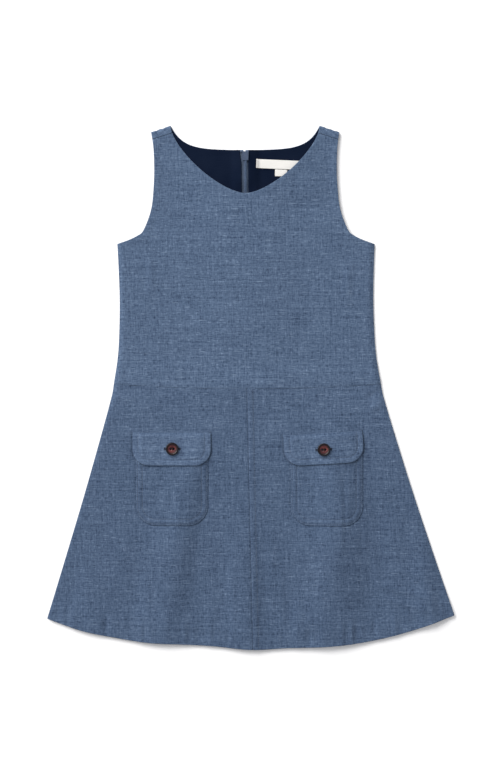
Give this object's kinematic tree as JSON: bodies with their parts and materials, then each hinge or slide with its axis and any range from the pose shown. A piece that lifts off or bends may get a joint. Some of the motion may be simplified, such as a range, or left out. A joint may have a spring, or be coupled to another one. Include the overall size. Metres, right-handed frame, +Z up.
{
  "type": "pinafore dress",
  "caption": "Sleeveless flat-laid pinafore dress with a scooped neck, dropped waist, flared skirt, buttoned flap pockets and a back zip.",
  "frame": {"origin": "centre of the box round the dress, on the surface that it lies on", "axes": "+Z up from the surface, +Y along the dress towards the neck, +X to the right as seen from above, which is the wearer's left"},
  "size_m": [0.5084, 0.6546, 0.0086],
  "materials": {
    "chambray": "matt slubby blue chambray, plain weave",
    "lining": "smooth navy lining",
    "zip_tape": "woven grey-blue tape",
    "zip_coil": "grey-blue nylon coil",
    "zip_slider": "grey-blue lacquer, bright at the edges",
    "label": "cream satin ribbon, bare",
    "button": "marbled reddish brown, polished"
  },
  "bodies": {
    "dress": {"bodice_front": "chambray", "bodice_back_left": "chambray", "bodice_back_right": "chambray", "skirt_front_left": "chambray", "skirt_front_right": "chambray", "skirt_back": "chambray", "pocket_left": "chambray", "pocket_right": "chambray", "flap_left": "chambray", "flap_right": "chambray", "lining_back_left": "lining", "lining_back_right": "lining", "zip_tape_left": "zip_tape", "zip_tape_right": "zip_tape", "zip_chain": "zip_coil", "zip_slider": "zip_slider", "neck_label": "label", "size_tab": "label", "button_left": "button", "button_right": "button"},
    "pull": {"zip_pull": "zip_slider"}
  },
  "joints": [
    {"name": "pull_swing", "type": "hinge", "parent": "dress", "child": "pull", "pos_m": [-0.0067, 0.289, 0.00125], "axis": [1, 0, 0], "range_deg": [0, 180]}
  ]
}
